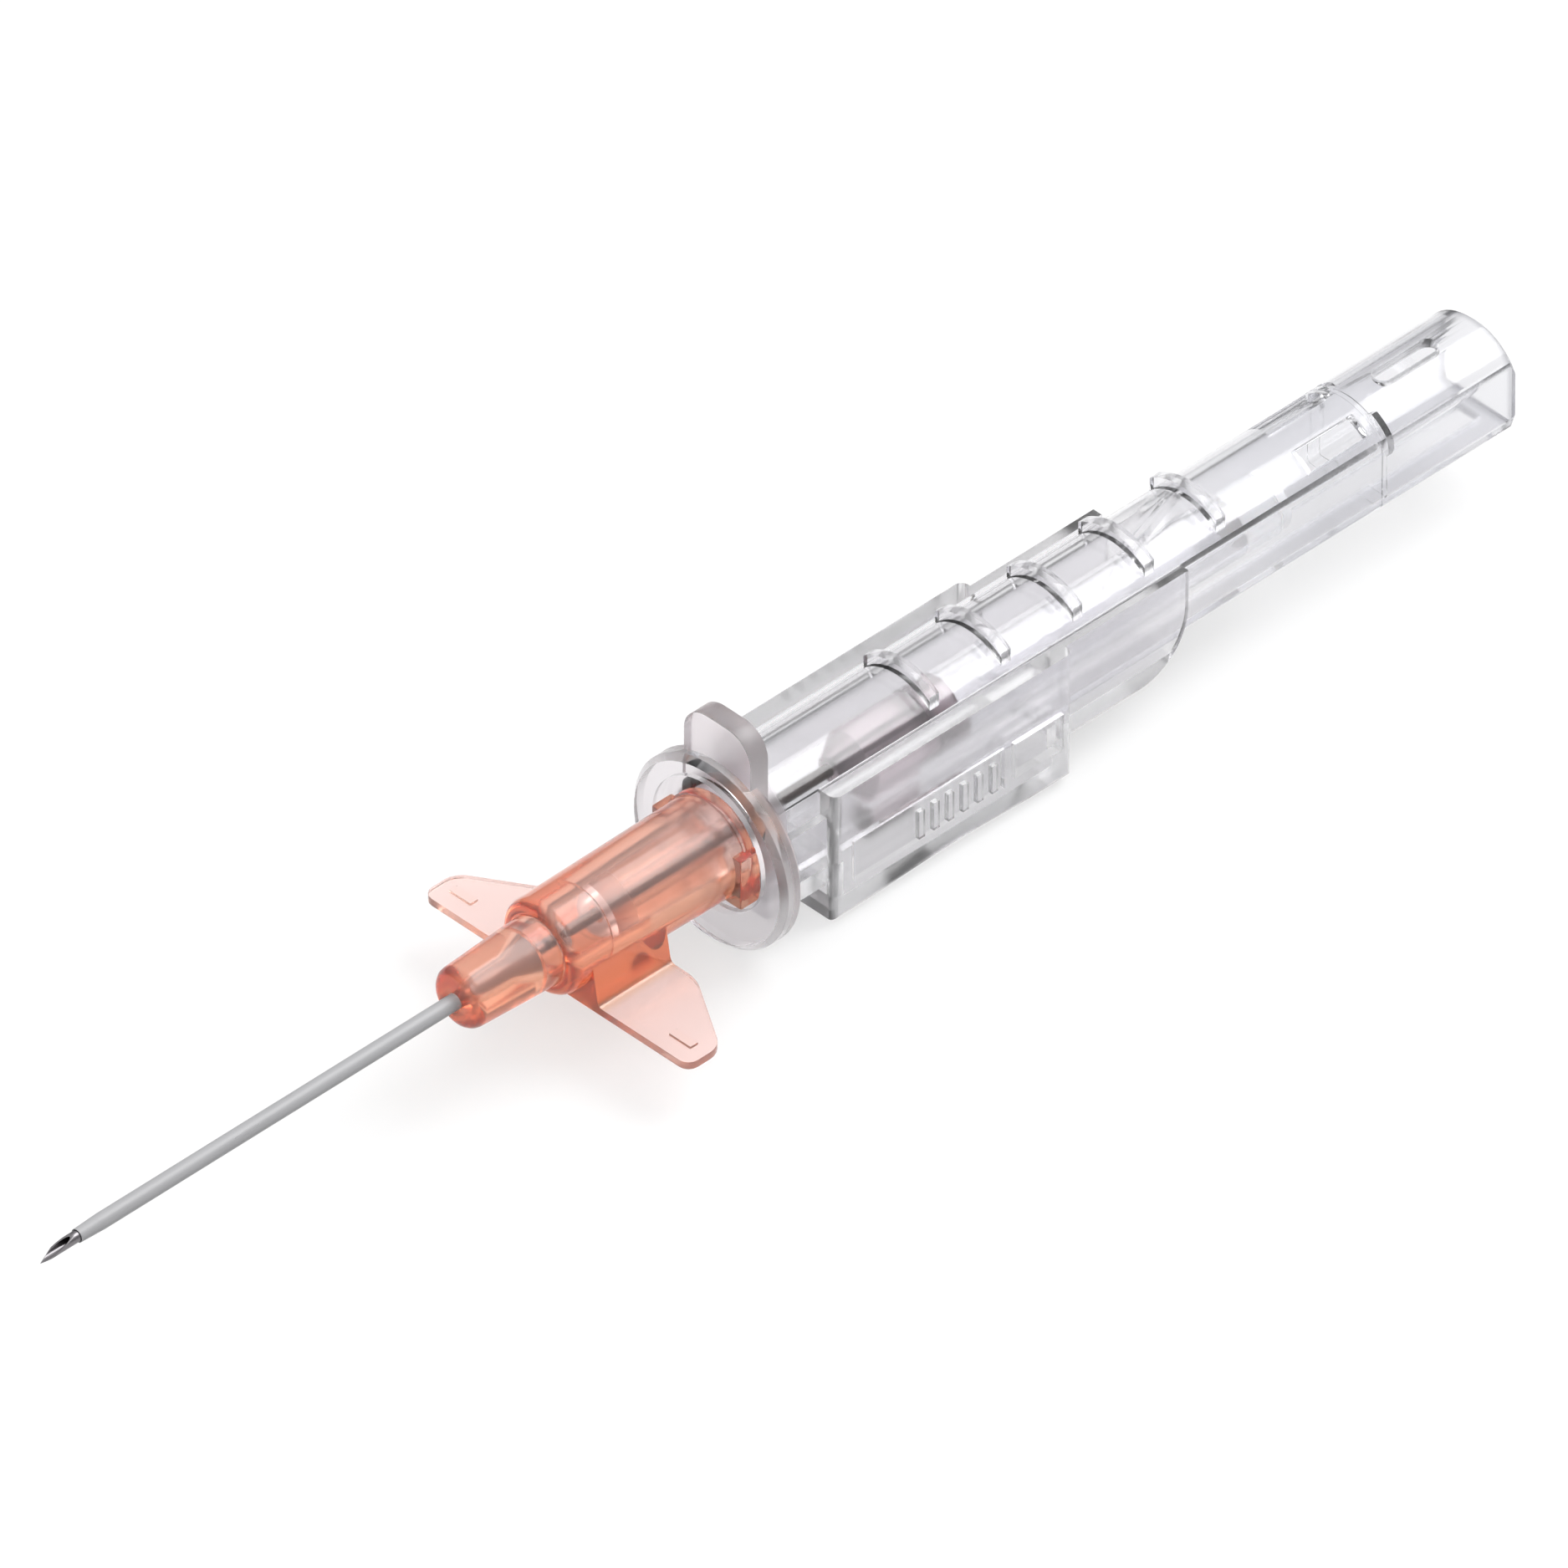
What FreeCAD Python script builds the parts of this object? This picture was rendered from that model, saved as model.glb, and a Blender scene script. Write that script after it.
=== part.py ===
"""Winged intravenous cannula with a sliding needle guard, ready for use.

Each piece is drawn in millimetres along the needle. X counts stations from the needle's
point towards the rear, Y goes across and Z goes up from the needle's axis. A placement
then stands every piece in the frame of the whole part, with the origin under its middle.
"""

import FreeCAD, Part

import math
import os
import re

import Sketcher

Vector = FreeCAD.Vector
Rotation = FreeCAD.Rotation

os.makedirs("parts", exist_ok=True)
doc = FreeCAD.newDocument("cannula")

# Driving sizes

SIZES = {
    # Steel needle
    "needle_radius": 0.39,
    "needle_bore_radius": 0.28,
    "needle_hold": 7.9,
    "bevel_angle": 15.0,
    "lancet_angle": 17.0,
    # Soft tube that stays in the vein, and the steel eyelet that wedges it in the hub
    "tip_setback": 3.1,
    "tube_exposed": 31.9,
    "tube_radius": 0.55,
    "tube_bore_radius": 0.43,
    "tube_tip_radius": 0.47,
    "tube_tip_taper": 2.0,
    "tube_socket_depth": 2.3,
    "collar_length": 1.6,
    "flare_length": 2.0,
    "flare_radius": 1.12,
    "eyelet_wall": 0.06,
    # Hub: nose, body, rim, lugs and wings
    "nose_length": 7.0,
    "nose_front_radius": 2.1,
    "nose_rear_radius": 2.4,
    "nose_edge_radius": 0.6,
    "body_length": 14.35,
    "body_front_radius": 3.3,
    "body_rear_radius": 3.45,
    "body_edge_radius": 0.7,
    "rim_length": 0.85,
    "rim_radius": 3.6,
    "chamber_radius": 1.6,
    "socket_depth": 11.2,
    "socket_mouth_radius": 2.15,
    "socket_taper": 0.03,
    "lug_length": 1.7,
    "lug_half_width": 3.9,
    "lug_bottom": 2.4,
    "lug_height": 3.8,
    "wing_drop": 3.7,
    "wing_setback": 1.5,
    "wing_span": 11.6,
    "wing_tip_chord": 2.7,
    "wing_chord": 6.2,
    "wing_knee": 6.0,
    "wing_thickness": 0.55,
    "wing_corner_radius": 0.8,
    "wing_root_half_width": 3.75,
    "wing_root_top": 0.3,
    "wing_root_top_half_width": 3.28,
    "wing_pip_setback": 1.2,
    "wing_pip_length": 0.7,
    "wing_pip_width": 1.9,
    "wing_pip_place": 8.65,
    "wing_pip_rise": 0.17,
    # Guard: nose, flange, tab, tube, ribs and rear collar
    "seat_gap": 0.05,
    "luer_gap": 0.02,
    "guard_nose_length": 10.7,
    "guard_nose_bore": 0.6,
    "flange_radius": 6.75,
    "flange_drop": 0.7,
    "flange_thickness": 1.8,
    "flange_edge_bevel": 0.4,
    "pocket_radius": 4.75,
    "tab_half_width": 2.9,
    "tab_top": 9.1,
    "tab_setback": 0.9,
    "tab_thickness": 1.5,
    "tab_corner_radius": 2.0,
    "guard_length": 66.1,
    "guard_radius": 4.18,
    "guard_wall": 0.8,
    "guard_half_width": 3.45,
    "guard_depth": 3.0,
    "guard_corner_radius": 0.9,
    "slot_half_width": 1.05,
    "slot_margin": 0.5,
    "point_cover": 1.95,
    "rib_count": 5,
    "rib_setback": 14.4,
    "rib_pitch": 6.15,
    "rib_thickness": 0.8,
    "rib_radius": 4.95,
    "rib_half_width": 2.9,
    "end_collar_length": 11.5,
    "end_collar_radius": 4.2,
    "end_collar_step": 0.05,
    "end_collar_wall": 0.7,
    "end_edge_bevel": 0.35,
    "key_slot_length": 5.3,
    "key_slot_width": 1.4,
    "key_slot_setback": 3.5,
    "window_length": 5.0,
    "window_width": 1.7,
    "window_setback": 0.5,
    "window_tilt": 30.0,
    "slit_length": 0.5,
    "slit_width": 2.6,
    "slit_tilt": 46.0,
    # Handle: neck, grip and tail of one open channel
    "handle_gap": 0.4,
    "neck_length": 4.0,
    "neck_wall_height": 1.0,
    "grip_length": 20.4,
    "grip_wall": 1.32,
    "well_drop": 2.6,
    "grip_edge_radius": 0.6,
    "grip_floor": 1.2,
    "grip_end_wall": 1.3,
    "waist_rise": 0.6,
    "waist_margin": 1.7,
    "tail_length": 10.6,
    "tail_wall": 0.6,
    "tail_floor": 1.1,
    "tail_corner_radius": 4.2,
    "slide_gap": 0.1,
    "lip_gap": 0.25,
    "lip_thickness": 0.24,
    "lip_overhang": 0.18,
    "panel_front": 1.6,
    "panel_length": 12.9,
    "panel_bottom": 4.5,
    "panel_top": 1.4,
    "panel_depth": 0.35,
    "ridge_count": 6,
    "ridge_front": 7.2,
    "ridge_pitch": 1.25,
    "ridge_width": 0.5,
    "ridge_bottom": 4.4,
    "ridge_top": 2.3,
    "recess_front": 15.4,
    "recess_length": 4.2,
    "recess_bottom": 4.3,
    "recess_top": 1.6,
    "recess_depth": 0.7,
    # Needle carrier, flash chamber and vent plug
    "carrier_setback": 4.0,
    "carrier_length": 7.0,
    "carrier_nose_radius": 0.9,
    "carrier_nose_length": 1.6,
    "carrier_radius": 1.9,
    "carrier_passage_radius": 0.8,
    "spigot_length": 2.6,
    "spigot_radius": 1.5,
    "foot_setback": 2.0,
    "foot_length": 4.0,
    "foot_half_width": 0.9,
    "chamber_length": 30.0,
    "chamber_outer_radius": 1.95,
    "plug_length": 3.0,
    "plug_head_length": 0.8,
    "plug_head_radius": 1.85,
}

# Places worked out from the driving sizes

PLACES = {
    "nose_front": "tip_setback + tube_exposed",
    "hub_step": "nose_front + nose_length",
    "hub_shoulder": "hub_step + body_length",
    "hub_rear": "hub_shoulder + rim_length",
    "collar_start": "nose_front + tube_socket_depth",
    "flare_start": "collar_start + collar_length",
    "flare_end": "flare_start + flare_length",
    "collar_bore_radius": "tube_bore_radius + eyelet_wall",
    "collar_radius": "tube_radius + eyelet_wall",
    "flare_bore_radius": "flare_radius - tube_radius + tube_bore_radius",
    "socket_floor": "hub_rear - socket_depth",
    "wing_front": "hub_step + wing_setback",
    "flange_front": "hub_shoulder + seat_gap",
    "pocket_floor": "hub_rear + seat_gap",
    "flange_rear": "flange_front + flange_thickness",
    "guard_rear": "flange_front + guard_length",
    "end_collar_front": "guard_rear - end_collar_length",
    "guard_nose_tip": "pocket_floor - guard_nose_length",
    "guard_travel": "guard_nose_tip + point_cover",
    "guard_bore_half_width": "guard_half_width - guard_wall",
    "guard_bore_depth": "guard_depth - guard_wall",
    "shoulder_height": "sqrt(guard_radius ^ 2 - guard_half_width ^ 2)",
    "handle_front": "flange_rear + handle_gap",
    "grip_front": "handle_front + neck_length",
    "grip_rear": "grip_front + grip_length",
    "handle_rear": "grip_rear + tail_length",
    "channel_half_width": "guard_half_width + slide_gap",
    "channel_depth": "guard_depth + slide_gap",
    "tail_half_width": "channel_half_width + tail_wall",
    "tail_depth": "channel_depth + tail_floor",
    "lip_half_width": "channel_half_width - lip_overhang",
    "lip_height": "shoulder_height + lip_gap",
    "wall_height": "lip_height + lip_thickness",
    "grip_half_width": "channel_half_width + grip_wall",
    "well_depth": "channel_depth + well_drop",
    "grip_depth": "well_depth + grip_floor",
    "carrier_front": "grip_front + carrier_setback",
    "needle_length": "carrier_front + needle_hold",
    "carrier_shoulder": "carrier_front + carrier_length",
    "carrier_rear": "carrier_shoulder + spigot_length",
    "foot_front": "carrier_front + foot_setback",
    "foot_rear": "foot_front + foot_length",
    "slot_front": "foot_front - slot_margin",
    "slot_rear": "foot_rear + guard_travel + slot_margin",
    "chamber_rear": "carrier_shoulder + chamber_length",
    "row_centre": "guard_rear / 2",
    "axis_height": "flange_radius + flange_drop",
}

sheet = doc.addObject("Spreadsheet::Sheet", "Sizes")
for row, (alias, value) in enumerate(SIZES.items(), start=1):
    sheet.set(f"A{row}", alias)
    sheet.set(f"B{row}", str(value))
    sheet.setAlias(f"B{row}", alias)
for row, (alias, formula) in enumerate(PLACES.items(), start=len(SIZES) + 2):
    sheet.set(f"A{row}", alias)
    sheet.set(f"B{row}", "=" + formula)
    sheet.setAlias(f"B{row}", alias)
doc.recompute()

ALIASES = set(SIZES) | set(PLACES)


def size(alias):
    """Number that a cell of the sheet holds."""
    return float(sheet.get(alias))


def linked(formula):
    """Formula with each size's name pointing at its cell of the sheet."""
    return re.sub(r"[a-z_]+", lambda word: "Sizes." + word[0] if word[0] in ALIASES else word[0], formula)


def bind(thing, formulas):
    """Tie properties of an object to formulas of the sheet's sizes."""
    for place, formula in formulas.items():
        thing.setExpression(place, linked(formula))


# Solids with sketches

def sketch_on(body, name, role, shift="0"):
    """Empty sketch on one of the body's own planes, moved along the plane's normal."""
    plane = [item for item in body.Origin.OriginFeatures if item.Role == role][0]
    sketch = body.newObject("Sketcher::SketchObject", name)
    sketch.AttachmentSupport = [(plane, "")]
    sketch.MapMode = "FlatFace"
    bind(sketch, {"AttachmentOffset.Base.z": shift})
    return sketch


def pin_point(sketch, geometry, end, label, across, up):
    """Hold one point of a sketch at a place given by two formulas."""
    point = sketch.getPoint(geometry, end)
    measures = (("DistanceX", "x", point.x, across), ("DistanceY", "y", point.y, up))
    for kind, axis, start, formula in measures:
        index = sketch.addConstraint(Sketcher.Constraint(kind, -1, 1, geometry, end, start))
        sketch.renameConstraint(index, axis + label)
        bind(sketch, {f"Constraints.{axis}{label}": formula})


def outline(body, name, role, corners, shift="0"):
    """Closed outline of straight lines through corners given as pairs of formulas."""
    sketch = sketch_on(body, name, role, shift)
    count = len(corners)
    start = sketch.GeometryCount
    angles = [2 * math.pi * i / count for i in range(count)]
    ring = [Vector(math.cos(angle), math.sin(angle), 0) for angle in angles]
    for i in range(count):
        sketch.addGeometry(Part.LineSegment(ring[i], ring[(i + 1) % count]), False)
    for i in range(count):
        sketch.addConstraint(Sketcher.Constraint("Coincident", start + i, 2, start + (i + 1) % count, 1))
        pin_point(sketch, start + i, 1, str(start + i), *corners[i])
    return sketch


def rectangle(low_across, low_up, high_across, high_up):
    """Four corners of a rectangle."""
    return [(low_across, low_up), (high_across, low_up), (high_across, high_up), (low_across, high_up)]


def disc(body, name, role, across, up, radius, shift="0"):
    """Sketch of one circle."""
    sketch = sketch_on(body, name, role, shift)
    sketch.addGeometry(Part.Circle(Vector(0, 0, 0), Vector(0, 0, 1), 1.0), False)
    pin_point(sketch, 0, 3, "centre", across, up)
    index = sketch.addConstraint(Sketcher.Constraint("Radius", 0, 1.0))
    sketch.renameConstraint(index, "round")
    bind(sketch, {"Constraints.round": radius})
    return sketch


def pad(body, name, sketch, length):
    """Solid pushed out of a sketch, along the sketch's normal."""
    feature = body.newObject("PartDesign::Pad", name)
    feature.Profile = sketch
    bind(feature, {"Length": length})
    doc.recompute()
    return feature


def pocket(body, name, sketch, length, both_ways=False):
    """Hollow cut along the sketch's normal, or both ways from it."""
    feature = body.newObject("PartDesign::Pocket", name)
    feature.Profile = sketch
    feature.Reversed = True
    feature.Midplane = both_ways
    bind(feature, {"Length": length})
    doc.recompute()
    return feature


def turn(body, name, sketch, kind="PartDesign::Revolution"):
    """Solid or groove turned about the needle's axis."""
    feature = body.newObject(kind, name)
    feature.Profile = sketch
    feature.ReferenceAxis = (sketch, ["H_Axis"])
    feature.Angle = 360
    doc.recompute()
    return feature


def edges_where(shape, wanted):
    """Names of the edges that pass a test."""
    return [f"Edge{i}" for i, edge in enumerate(shape.Edges, start=1) if wanted(edge)]


def round_edges(body, name, base, wanted, radius):
    """Fillet on the edges of a feature that pass a test."""
    feature = body.newObject("PartDesign::Fillet", name)
    feature.Base = (base, edges_where(base.Shape, wanted))
    bind(feature, {"Radius": radius})
    doc.recompute()
    return feature


def near(value, target):
    """True where two measures agree."""
    return abs(value - target) < 1e-4


def is_ring(edge, station, radius):
    """True for a full or part circle about the needle's axis."""
    curve = edge.Curve
    return (isinstance(curve, Part.Circle) and near(curve.Center.x, station) and near(curve.Radius, radius))


def runs_along(edge, axis):
    """True for a straight edge that runs along the axis x, y or z."""
    if not isinstance(edge.Curve, (Part.Line, Part.LineSegment)):
        return False
    spans = {"x": edge.BoundBox.XLength, "y": edge.BoundBox.YLength, "z": edge.BoundBox.ZLength}
    return near(spans[axis], edge.Length)


# Solids from primitives

def rod(name, radius, start, length, up="0", across="0"):
    """Cylinder along the needle's direction."""
    thing = doc.addObject("Part::Cylinder", name)
    thing.Placement = FreeCAD.Placement(Vector(0, 0, 0), Rotation(Vector(0, 1, 0), 90))
    bind(thing, {"Radius": radius, "Height": length, "Placement.Base.x": start})
    bind(thing, {"Placement.Base.y": across, "Placement.Base.z": up})
    return thing


def cone(name, front_radius, rear_radius, start, length):
    """Cone along the needle's direction."""
    thing = doc.addObject("Part::Cone", name)
    thing.Placement = FreeCAD.Placement(Vector(0, 0, 0), Rotation(Vector(0, 1, 0), 90))
    bind(thing, {"Radius1": front_radius, "Radius2": rear_radius})
    bind(thing, {"Height": length, "Placement.Base.x": start})
    return thing


def block(name, start, end, half_width, bottom, top):
    """Box that is centred across the needle."""
    thing = doc.addObject("Part::Box", name)
    bind(thing, {"Length": f"({end}) - ({start})", "Width": f"2 * ({half_width})"})
    bind(thing, {"Height": f"({top}) - ({bottom})", "Placement.Base.x": start})
    bind(thing, {"Placement.Base.y": f"-({half_width})", "Placement.Base.z": bottom})
    return thing


def fused(name, things):
    """One solid of several."""
    thing = doc.addObject("Part::MultiFuse", name)
    thing.Shapes = things
    thing.Refine = True
    return thing


def shared(name, one, other):
    """What two solids have in common."""
    thing = doc.addObject("Part::MultiCommon", name)
    thing.Shapes = [one, other]
    return thing


def less(name, base, tool):
    """One solid less another."""
    thing = doc.addObject("Part::Cut", name)
    thing.Base = base
    thing.Tool = tool
    return thing


def rounded(name, base, wanted, radius):
    """Fillet on the edges of a primitive that pass a test."""
    doc.recompute()
    thing = doc.addObject("Part::Fillet", name)
    thing.Base = base
    numbers = [i for i, edge in enumerate(base.Shape.Edges, start=1) if wanted(edge)]
    thing.Edges = [(number, size(radius), size(radius)) for number in numbers]
    return thing


def bevelled(name, base, wanted, reach):
    """Small bevel on the edges of a primitive that pass a test."""
    doc.recompute()
    thing = doc.addObject("Part::Chamfer", name)
    thing.Base = base
    numbers = [i for i, edge in enumerate(base.Shape.Edges, start=1) if wanted(edge)]
    thing.Edges = [(number, size(reach), size(reach)) for number in numbers]
    return thing


def seat(thing, label):
    """Name a finished piece and stand it in the frame of the whole part."""
    thing.Label = label
    bind(thing, {"Placement.Base.x": "-row_centre", "Placement.Base.z": "axis_height"})
    return thing


# Needle: a steel tube with a sloped bevel and two lancet facets at its point

def make_needle():
    wall = less("NeedleTube", rod("NeedleOuter", "needle_radius", "0", "needle_length"),
                rod("NeedleBore", "needle_bore_radius", "0", "needle_length"))
    bevel = doc.addObject("Part::Box", "Bevel")
    bevel.Placement = FreeCAD.Placement(Vector(0, 0, 0), Rotation(Vector(0, -1, 0), 15))
    reach = "8 * needle_radius / sin(bevel_angle)"
    bind(bevel, {"Length": reach, "Width": "4 * needle_radius", "Height": "8 * needle_radius"})
    bind(bevel, {"Placement.Rotation.Angle": "bevel_angle", "Placement.Base.y": "-2 * needle_radius"})
    bind(bevel, {"Placement.Base.z": "-needle_radius"})
    facets = []
    for side, turned in (("Near", -1), ("Far", 1)):
        facet = doc.addObject("Part::Box", side + "Facet")
        facet.Placement = FreeCAD.Placement(Vector(0, 0, 0), Rotation(Vector(0, 0, turned), 17))
        bind(facet, {"Length": "8 * needle_radius", "Width": "2 * needle_radius"})
        bind(facet, {"Height": "4 * needle_radius", "Placement.Base.z": "-2 * needle_radius"})
        bind(facet, {"Placement.Rotation.Angle": "lancet_angle"})
        if turned < 0:
            bind(facet, {"Placement.Base.x": "-2 * needle_radius * sin(lancet_angle)"})
            bind(facet, {"Placement.Base.y": "-2 * needle_radius * cos(lancet_angle)"})
        facets.append(facet)
    return seat(less("NeedlePoint", wall, fused("NeedleGrind", [bevel] + facets)), "needle")


# Catheter tube, with a drawn-in tip and a flared root

def make_catheter_tube():
    body = doc.addObject("PartDesign::Body", "CatheterTube")
    corners = [
        ("tip_setback", "tube_bore_radius"),
        ("tip_setback", "tube_tip_radius"),
        ("tip_setback + tube_tip_taper", "tube_radius"),
        ("nose_front", "tube_radius"),
        ("collar_start", "collar_radius"),
        ("flare_start", "collar_radius"),
        ("flare_end", "flare_radius"),
        ("flare_end", "flare_bore_radius"),
        ("flare_start", "collar_bore_radius"),
        ("collar_start", "collar_bore_radius"),
        ("nose_front", "tube_bore_radius"),
    ]
    turn(body, "TubeWall", outline(body, "TubeProfile", "XZ_Plane", corners))
    return seat(body, "catheter_tube")


# Eyelet: the steel funnel inside the tube's flare

def make_catheter_eyelet():
    body = doc.addObject("PartDesign::Body", "Eyelet")
    corners = [
        ("collar_start", "tube_bore_radius"),
        ("collar_start", "collar_bore_radius"),
        ("flare_start", "collar_bore_radius"),
        ("flare_end", "flare_bore_radius"),
        ("flare_end", "flare_bore_radius - eyelet_wall"),
        ("flare_start", "tube_bore_radius"),
    ]
    turn(body, "EyeletWall", outline(body, "EyeletProfile", "XZ_Plane", corners))
    return seat(body, "catheter_eyelet")


# Hub: one coloured moulding with a stepped nose, wings, lugs and a tapered socket

def make_catheter_hub():
    body = doc.addObject("PartDesign::Body", "Hub")
    corners = [
        ("nose_front", "0"),
        ("nose_front", "nose_front_radius"),
        ("hub_step", "nose_rear_radius"),
        ("hub_step", "body_front_radius"),
        ("hub_shoulder", "body_rear_radius"),
        ("hub_shoulder", "rim_radius"),
        ("hub_rear", "rim_radius"),
        ("hub_rear", "0"),
    ]
    core = turn(body, "HubCore", outline(body, "HubProfile", "XZ_Plane", corners))
    nose = round_edges(body, "NoseEdge", core, is_nose_ring, "nose_edge_radius")
    round_edges(body, "BodyEdge", nose, is_body_ring, "body_edge_radius")
    flank = [
        ("-wing_root_half_width", "-wing_drop"),
        ("wing_root_half_width", "-wing_drop"),
        ("wing_root_top_half_width", "-wing_root_top"),
        ("-wing_root_top_half_width", "-wing_root_top"),
    ]
    pad(body, "WingRoot", outline(body, "RootOutline", "YZ_Plane", flank, "wing_front"), "wing_chord")
    half_plan = [
        ("wing_front", "wing_span"),
        ("wing_front + wing_tip_chord", "wing_span"),
        ("wing_front + wing_chord", "wing_knee"),
    ]
    plan = half_plan + [(along, "-" + across) for along, across in reversed(half_plan)]
    plate = outline(body, "WingOutline", "XY_Plane", plan, "-wing_drop")
    wings = pad(body, "Wings", plate, "wing_thickness")
    round_edges(body, "WingTips", wings, is_wing_corner, "wing_corner_radius")
    start = "wing_front + wing_pip_setback"
    for side in ("Near", "Far"):
        low, high = across_side(side, "wing_pip_place", "wing_pip_place + wing_pip_width")
        bar = rectangle(start, low, start + " + wing_pip_length", high)
        pip = outline(body, side + "PipOutline", "XY_Plane", bar, "-wing_drop")
        pad(body, side + "Pip", pip, "wing_thickness + wing_pip_rise")
    ear = rectangle("hub_rear - lug_length", "-lug_half_width", "hub_rear", "lug_half_width")
    pad(body, "Lugs", outline(body, "LugOutline", "XY_Plane", ear, "-lug_bottom"), "lug_height")
    bore = [
        ("nose_front - nose_length", "0"),
        ("nose_front - nose_length", "tube_radius"),
        ("nose_front", "tube_radius"),
        ("collar_start", "collar_radius"),
        ("flare_start", "collar_radius"),
        ("flare_end", "flare_radius"),
        ("flare_end", "chamber_radius"),
        ("socket_floor", "chamber_radius"),
        ("socket_floor", "socket_mouth_radius - socket_taper * socket_depth"),
        ("hub_rear + rim_length", "socket_mouth_radius + socket_taper * rim_length"),
        ("hub_rear + rim_length", "0"),
    ]
    turn(body, "HubBore", outline(body, "HubBoreProfile", "XZ_Plane", bore), "PartDesign::Groove")
    return seat(body, "catheter_hub")


def is_nose_ring(edge):
    """True for the round edge at the front of the hub's nose."""
    return is_ring(edge, size("nose_front"), size("nose_front_radius"))


def is_body_ring(edge):
    """True for the outer round edge of the step from the nose to the hub's body."""
    return is_ring(edge, size("hub_step"), size("body_front_radius"))


def is_wing_corner(edge):
    """True for the upright edges at the wings' tips and knees."""
    return runs_along(edge, "z") and abs(edge.CenterOfMass.y) > size("wing_knee") - 1e-3


# Needle carrier: holds the needle and stands on the handle's floor through the guard's slot

def make_needle_carrier():
    body = doc.addObject("PartDesign::Body", "Carrier")
    corners = [
        ("carrier_front", "0"),
        ("carrier_front", "carrier_nose_radius"),
        ("carrier_front + carrier_nose_length", "carrier_radius"),
        ("carrier_shoulder", "carrier_radius"),
        ("carrier_shoulder", "spigot_radius"),
        ("carrier_rear", "spigot_radius"),
        ("carrier_rear", "0"),
    ]
    turn(body, "CarrierCore", outline(body, "CarrierProfile", "XZ_Plane", corners))
    sole = rectangle("foot_front", "-foot_half_width", "foot_rear", "foot_half_width")
    pad(body, "Foot", outline(body, "FootOutline", "XY_Plane", sole, "-well_depth"), "well_depth")
    bore = [
        ("carrier_front - carrier_nose_length", "0"),
        ("carrier_front - carrier_nose_length", "needle_radius"),
        ("needle_length", "needle_radius"),
        ("needle_length", "carrier_passage_radius"),
        ("carrier_rear + spigot_length", "carrier_passage_radius"),
        ("carrier_rear + spigot_length", "0"),
    ]
    turn(body, "CarrierBore", outline(body, "CarrierBoreProfile", "XZ_Plane", bore), "PartDesign::Groove")
    return seat(body, "needle_carrier")


# Flash chamber: a clear tube on the carrier's spigot

def make_flash_chamber():
    body = doc.addObject("PartDesign::Body", "Chamber")
    corners = rectangle("carrier_shoulder", "spigot_radius", "chamber_rear", "chamber_outer_radius")
    turn(body, "ChamberWall", outline(body, "ChamberProfile", "XZ_Plane", corners))
    return seat(body, "flash_chamber")


# Vent plug: porous, pushed into the chamber's rear end up to its head

def make_vent_plug():
    body = doc.addObject("PartDesign::Body", "Plug")
    corners = [
        ("chamber_rear - plug_length", "0"),
        ("chamber_rear - plug_length", "spigot_radius"),
        ("chamber_rear", "spigot_radius"),
        ("chamber_rear", "plug_head_radius"),
        ("chamber_rear + plug_head_length", "plug_head_radius"),
        ("chamber_rear + plug_head_length", "0"),
    ]
    turn(body, "PlugCore", outline(body, "PlugProfile", "XZ_Plane", corners))
    return seat(body, "vent_plug")


# Guard: one clear moulding that slides forward over the needle

def make_guard_ribs():
    """Finger ribs over the top of the guard's tube."""
    discs = []
    for i in range(int(size("rib_count"))):
        start = f"flange_rear + rib_setback + {i} * rib_pitch"
        discs.append(rod(f"RibDisc{i + 1}", "rib_radius", start, "rib_thickness"))
    span = block("RibSpan", "flange_rear", "guard_rear", "rib_half_width",
                 "guard_bore_half_width", "2 * rib_radius")
    return shared("Ribs", fused("RibDiscs", discs), span)


def make_side_cutter(name, start, length, width, tilt, side):
    """Box that cuts through the tube's wall, tilted from upright about the needle's axis."""
    cutter = doc.addObject("Part::Box", name)
    cutter.Placement = FreeCAD.Placement(Vector(0, 0, 0), Rotation(Vector(-side, 0, 0), 30))
    bind(cutter, {"Length": length, "Width": width, "Height": "guard_radius", "Placement.Base.x": start})
    bind(cutter, {"Placement.Rotation.Angle": tilt})
    depth = "(guard_radius - 1.5 * guard_wall)"
    lean = f"{side} * {depth} * sin({tilt}) - {width} / 2 * cos({tilt})"
    rise = f"{depth} * cos({tilt}) + {side} * {width} / 2 * sin({tilt})"
    bind(cutter, {"Placement.Base.y": lean, "Placement.Base.z": rise})
    return cutter


def make_key_slot():
    """Slot with round ends through the top of the rear collar."""
    start = "guard_rear - key_slot_setback - key_slot_length"
    end = "guard_rear - key_slot_setback"
    pieces = [block("KeySlotMiddle", start + " + key_slot_width / 2", end + " - key_slot_width / 2",
                    "key_slot_width / 2", "guard_bore_half_width", "2 * guard_radius")]
    for name, station in (("KeySlotFront", start + " + key_slot_width / 2"),
                          ("KeySlotRear", end + " - key_slot_width / 2")):
        post = doc.addObject("Part::Cylinder", name)
        bind(post, {"Radius": "key_slot_width / 2", "Height": "2 * guard_radius - guard_bore_half_width"})
        bind(post, {"Placement.Base.x": station, "Placement.Base.z": "guard_bore_half_width"})
        pieces.append(post)
    return pieces


def make_guard_nose(name):
    """Tapered nose that plugs into the hub's socket."""
    front_radius = "socket_mouth_radius - socket_taper * (hub_rear - guard_nose_tip) - luer_gap"
    rear_radius = "socket_mouth_radius + socket_taper * (pocket_floor + seat_gap - hub_rear) - luer_gap"
    return cone(name, front_radius, rear_radius, "guard_nose_tip", "guard_nose_length + seat_gap")


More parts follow.
